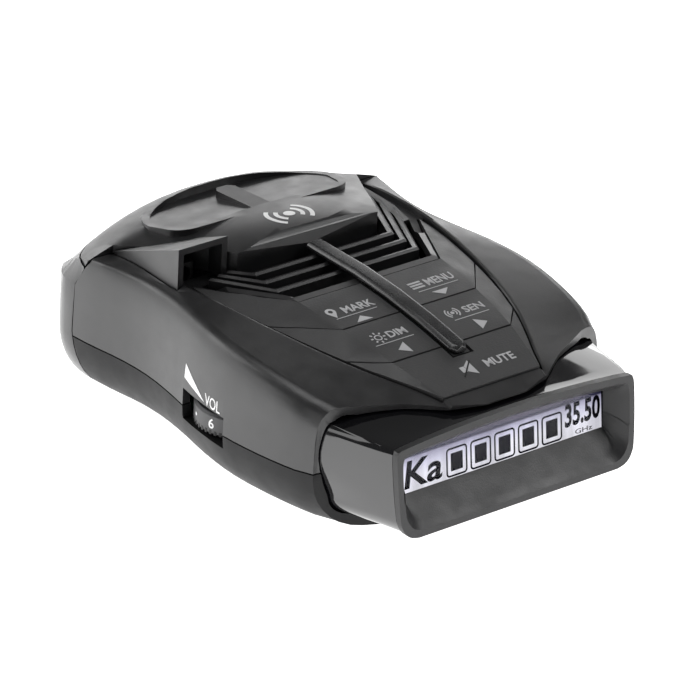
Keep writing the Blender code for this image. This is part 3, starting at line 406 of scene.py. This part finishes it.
def print_mesh(name, shapes, place, outward, material, body, thick=PRINT_THICK):
    """One thin raised print made of several flat shapes.

    place gives the seat of each flat point, and outward the way that the print stands off it.
    """
    bm = bmesh.new()
    for points, faces in shapes:
        made = [bm.verts.new((x, y, 0.0)) for x, y in points]
        for face in faces:
            if len(set(face)) > 2:
                bm.faces.new([made[i] for i in face])
    bmesh.ops.remove_doubles(bm, verts=bm.verts, dist=0.0005)
    bmesh.ops.triangulate(bm, faces=bm.faces)
    for _ in range(SPLIT_ROUNDS):
        long_edges = [e for e in bm.edges if e.calc_length() > PRINT_REACH]
        if not long_edges:
            break
        bmesh.ops.subdivide_edges(bm, edges=long_edges, cuts=1)
        bmesh.ops.triangulate(bm, faces=bm.faces)
    raised = bmesh.ops.extrude_face_region(bm, geom=bm.faces[:])
    tops = {v for v in raised["geom"] if isinstance(v, bmesh.types.BMVert)}
    for vert in bm.verts:
        flat = (vert.co.x, vert.co.y)
        seat = place(*flat)
        lift = PRINT_LIFT + (thick if vert in tops else 0.0)
        vert.co = (seat + outward(*flat) * lift) * MM
    bmesh.ops.recalc_face_normals(bm, faces=bm.faces)
    mesh = bpy.data.meshes.new(name)
    bm.to_mesh(mesh)
    bm.free()
    mesh.materials.append(material)
    obj = bpy.data.objects.new(name, mesh)
    bpy.context.scene.collection.objects.link(obj)
    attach(obj, body)


def lay_from_above(name, shapes, node, material, body, thick=PRINT_THICK):
    """Print pressed down onto a node that faces up."""
    tree = surface_of(node)

    def seat(x, y):
        hit = tree.ray_cast(Vector((x, y, RAY_START)), Vector((0.0, 0.0, -1.0)))[0]
        return hit if hit else Vector((x, y, SPARE_TOP_Z))

    def outward(x, y):
        return Vector((0.0, 0.0, 1.0))

    print_mesh(name, shapes, seat, outward, material, body, thick)


def lay_from_left(name, shapes, node, material, body):
    """Print pressed onto the left side; a shape's x runs toward the display end."""
    tree = surface_of(node)

    def seat(x, y):
        hit = tree.ray_cast(Vector((-RAY_START, -x, y)), Vector((1.0, 0.0, 0.0)))[0]
        return hit if hit else Vector((SPARE_SIDE_X, -x, y))

    def outward(x, y):
        return Vector((-1.0, 0.0, 0.0))

    print_mesh(name, shapes, seat, outward, material, body)


def lay_on_wheel(name, shapes, material):
    """Print wrapped round the wheel's rim; a shape's x runs along the rim, from -X toward -Y."""
    def outward(x, y):
        angle = x / WHEEL_RADIUS
        return Vector((-math.cos(angle), -math.sin(angle), 0.0))

    def seat(x, y):
        return Vector((WHEEL_X, WHEEL_Y, y)) + WHEEL_RADIUS * outward(x, y)

    print_mesh(name, shapes, seat, outward, material, "wheel")


def lay_on_lcd(name, shapes, material):
    """Segments just in front of the display panel; y runs up from the panel's foot."""
    def seat(x, y):
        z = LCD_BASE + y
        return Vector((x, LCD_FACE_Y + LCD_LEAN * (z - LCD_PIVOT_Z), z))

    def outward(x, y):
        return Vector((0.0, -1.0, 0.0))

    print_mesh(name, shapes, seat, outward, material, "casing")


# ---------------------------------------------------------------- printed marks, and dark grip notches as painted shade

def print_menu():
    """Word, three-bar icon, underline and down arrow of the menu key."""
    shapes = [word("MENU", 8.8, -13.8, 6.6, 2.3)]
    shapes += [line(5.0, y, 8.0, y, 0.5) for y in (-11.75, -12.6, -13.45)]
    shapes.append(line(5.4, -14.75, 15.2, -14.75, RULE_WIDTH))
    shapes.append(fan([(7.7, -15.9), (9.75, -17.6), (11.6, -15.9)]))
    lay_from_above("print_menu", shapes, "button_menu", INK, "button_menu")


def print_sen():
    """Word, wave icon, underline and right arrow of the sensitivity key."""
    shapes = [word("SEN", 9.2, -24.4, 4.8, 1.95)]
    shapes.append(fan(round_path(6.6, -23.3, 0.42, steps=14)))
    for radius in (1.05, 1.65):
        shapes.append(ring(6.6, -23.3, radius, 0.3, -55.0, 55.0, 10))
        shapes.append(ring(6.6, -23.3, radius, 0.3, 125.0, 235.0, 10))
    shapes.append(line(5.4, -25.5, 13.9, -25.5, RULE_WIDTH))
    shapes.append(fan([(8.8, -29.8), (11.2, -28.2), (8.8, -26.6)]))
    lay_from_above("print_sen", shapes, "button_sen", INK, "button_sen")


def print_mark():
    """Word, place icon, underline and up arrow of the marking key."""
    shapes = [word("MARK", -12.2, -14.4, 7.3, 2.2)]
    outer = round_path(-14.7, -12.7, 1.1, -30.0, 210.0, 17)
    outer.append((-14.7, -14.9))
    inner = round_path(-14.7, -12.7, 0.5, -30.0, 210.0, 17)
    inner.append((-14.7, -13.25))
    shapes.append(ribbon(outer, inner))
    shapes.append(line(-15.2, -15.25, -5.4, -15.25, RULE_WIDTH))
    shapes.append(fan([(-12.3, -17.9), (-8.5, -17.9), (-10.35, -16.2)]))
    lay_from_above("print_mark", shapes, "button_mark", INK, "button_mark")


def print_dim():
    """Word, lamp icon, underline and left arrow of the dimming key."""
    shapes = [word("DIM", -9.8, -24.7, 4.4, 2.0)]
    shapes.append(ring(-12.0, -23.7, 0.85, 0.26))
    for i in range(8):
        angle = math.radians(45.0 * i)
        c, s = math.cos(angle), math.sin(angle)
        start, end = (-12.0 + 1.15 * c, -23.7 + 1.15 * s), (-12.0 + 1.7 * c, -23.7 + 1.7 * s)
        shapes.append(line(*start, *end, 0.34))
    shapes.append(line(-14.2, -25.75, -5.0, -25.75, RULE_WIDTH))
    shapes.append(fan([(-8.5, -26.7), (-10.9, -28.4), (-8.5, -29.9)]))
    lay_from_above("print_dim", shapes, "button_dim", INK, "button_dim")


def print_mute():
    """Word and crossed speaker icon of the mute key."""
    shapes = [word("MUTE", 2.1, -39.3, 7.1, 2.0)]
    shapes.append(fan([(-3.6, -38.9), (-2.5, -38.9), (-2.5, -37.4), (-3.6, -37.4)]))
    shapes.append(fan([(-2.4, -38.9), (-0.7, -40.1), (-0.7, -36.2), (-2.4, -37.4)]))
    lay_from_above("print_mute", shapes, "button_mute", INK, "button_mute")
    slash = [line(-4.1, -39.9, -0.2, -36.4, 0.3)]
    lay_from_above("print_mute_slash", slash, "button_mute", INK_DARK_AND_PAINTED_SHADE, "button_mute",
                   2 * PRINT_THICK)


def print_cover_mark():
    """Plain signal mark on the cover: a dot between two pairs of arcs."""
    x, y = 0.3, 18.7
    shapes = [fan(round_path(x, y, 1.2, steps=24))]
    for radius in (3.1, 5.0):
        shapes.append(ring(x, y, radius, 0.9, -48.0, 48.0, 14))
        shapes.append(ring(x, y, radius, 0.9, 132.0, 228.0, 14))
    lay_from_above("print_cover_mark", shapes, "top_cover", WHITE, "casing")


def print_volume():
    """Volume wedge and word beside the wheel."""
    shapes = [fan([(-2.0, 18.1), (5.6, 16.3), (-1.6, 21.2)])]
    shapes.append(word("VOL", 5.8, 15.95, 5.0, 2.4, weight=0.008))
    lay_from_left("print_volume", shapes, "upper_case", WHITE, "casing")


def print_wheel():
    """Numerals and dots round the thumbwheel, and under them dark ticks, painted shade standing in
    for the shaded grooves of the grip notches.
    """
    per_step = math.radians(WHEEL_PITCH) * WHEEL_RADIUS
    shapes = []
    for digit in range(1, 7):
        middle = (digit - 6) * per_step + 1.9
        shapes.append(word(str(digit), middle - 0.65, 11.0, 1.3, 2.1, weight=0.015))
        shapes.append(fan(round_path(middle + per_step / 2, 12.0, 0.36, steps=12)))
    lay_on_wheel("print_wheel", shapes, WHITE)
    # Dark ticks round the rim's foot: painted shade for the grooves of the grip.
    painted_notch_shades = []
    for i in range(NOTCH_COUNT):
        at = (i + 0.5) * 2.0 * math.pi * WHEEL_RADIUS / NOTCH_COUNT
        left, right = at - NOTCH_HALF, at + NOTCH_HALF
        painted_notch_shades.append(fan([(left, NOTCH_LOW), (right, NOTCH_LOW),
                            (right, NOTCH_HIGH), (left, NOTCH_HIGH)]))
    lay_on_wheel("wheel_notches_painted_shade", painted_notch_shades, INK_DARK_AND_PAINTED_SHADE)


def print_display():
    """Dark segments of the reading: band letters, level boxes and a number."""
    shapes = [word("Ka", -22.7, 0.85, 9.1, 5.4, slant=0.16)]
    for i in range(BOX_COUNT):
        x = BOX_LEFT + BOX_PITCH * i
        box = (x, BOX_FOOT, x + BOX_WIDTH, BOX_TOP, BOX_CORNER)
        shapes.append(ribbon(frame_path(*box), frame_path(*box, BOX_LINE)))
        shapes.append(fan(frame_path(*box, BOX_FILL_INSET)))
    shapes.append(word("35.50", 17.0, 2.3, 8.9, 4.7, weight=0.03, slant=0.03))
    shapes.append(word("GHz", 19.6, 0.45, 4.3, 0.95, weight=0.0))
    lay_on_lcd("display_segments", shapes, SEGMENT)


place_camera()
light_scene()

# Materials. OWN_LOOKS replaces a node's slot: on the tray a darker, duller copy of the case finish,
# painted shade for its darker lower sides; and a rougher nose, which also softens the stepped
# reflections on its faceted top edge.
SATIN = finish_of("satin_black", (0.011, 0.011, 0.0118), 0.36, 0.12, specular=0.9)
NOSE = finish_of("nose_black", (0.005, 0.005, 0.006), 0.24, spread=0.04, specular=0.8)
# The tray's finish: the case's satin black made darker and less glossy, as painted shade.
TRAY_PAINTED_SHADE = finish_of("satin_black_tray_painted_shade", (0.009, 0.009, 0.0095), 0.5, 0.12, specular=0.3)
GLOSS = finish_of("gloss_black", (0.004, 0.004, 0.005), 0.07, spread=0.03, specular=0.9, coat=0.5)
RUBBER = finish_of("keypad_rubber", (0.034, 0.034, 0.035), 0.48, 0.5, 2600.0, specular=0.8)
RIM = finish_of("rim_grey", (0.02, 0.02, 0.021), 0.42, 0.35, 3000.0, specular=0.5)
BAR = finish_of("trim_bar", (0.016, 0.016, 0.017), 0.26, 0.02, specular=0.9)
LENS = finish_of("window_clear", (0.92, 0.91, 0.97), 0.006, spread=0.003, specular=0.3,
                 clear=1.0, ior=1.15)
LCD = lit_panel()
DIFFUSER = finish_of("diffuser_white", (0.82, 0.82, 0.84), 0.5, 0.1)
RIBBON = finish_of("ribbon_film", (0.42, 0.2, 0.05), 0.35, 0.1)
BOARD = finish_of("board", (0.02, 0.13, 0.06), 0.45, 0.15, 900.0, drift=0.3)
DARK = finish_of("dark_part", (0.012, 0.012, 0.012), 0.5, 0.1)
WHEEL = finish_of("wheel_black", (0.07, 0.07, 0.072), 0.45, 0.2)
HORN = finish_of("horn_metal", (0.62, 0.62, 0.64), 0.3, 0.1, 700.0, metallic=1.0)
STEEL = finish_of("steel", (0.42, 0.42, 0.44), 0.35, 0.1, 900.0, metallic=1.0)
PAPER = finish_of("cone_paper", (0.03, 0.03, 0.03), 0.85, 0.5, 1800.0)
INK = finish_of("ink_grey", (0.52, 0.52, 0.53), 0.45, 0.1)
# Dark ink for the mute slash, also used as painted shade in the wheel's grip notches.
INK_DARK_AND_PAINTED_SHADE = finish_of("ink_dark_and_painted_shade", (0.01, 0.01, 0.01), 0.5, 0.1)
WHITE = finish_of("ink_white", (0.88, 0.88, 0.88), 0.4, 0.1, drift=0.03)
SEGMENT = finish_of("segment_dark", (0.004, 0.004, 0.012), 0.6, 0.05, specular=0.1)
LOOKS = {
    "case": SATIN, "gloss_black": GLOSS, "rim_grey": RIM, "keypad_rubber": RUBBER, "trim_bar": BAR,
    "window_clear": LENS, "display_panel": LCD, "diffuser_white": DIFFUSER, "ribbon_film": RIBBON,
    "circuit_board": BOARD, "dark_part": DARK, "wheel_black": WHEEL, "horn_metal": HORN,
    "steel": STEEL, "cone_paper": PAPER,
}
OWN_LOOKS = {"lower_case": TRAY_PAINTED_SHADE, "nose_lens": NOSE}
SLOTS = {row["node"]: row["material_slot"] for row in frame["record"]["subparts"]}
for node in sorted(NODES):
    coat_node(node, OWN_LOOKS.get(node, LOOKS[SLOTS[node]]), EASED.get(node, EDGE_EASE))

print_menu()
print_sen()
print_mark()
print_dim()
print_mute()
print_cover_mark()
print_volume()
print_wheel()
print_display()
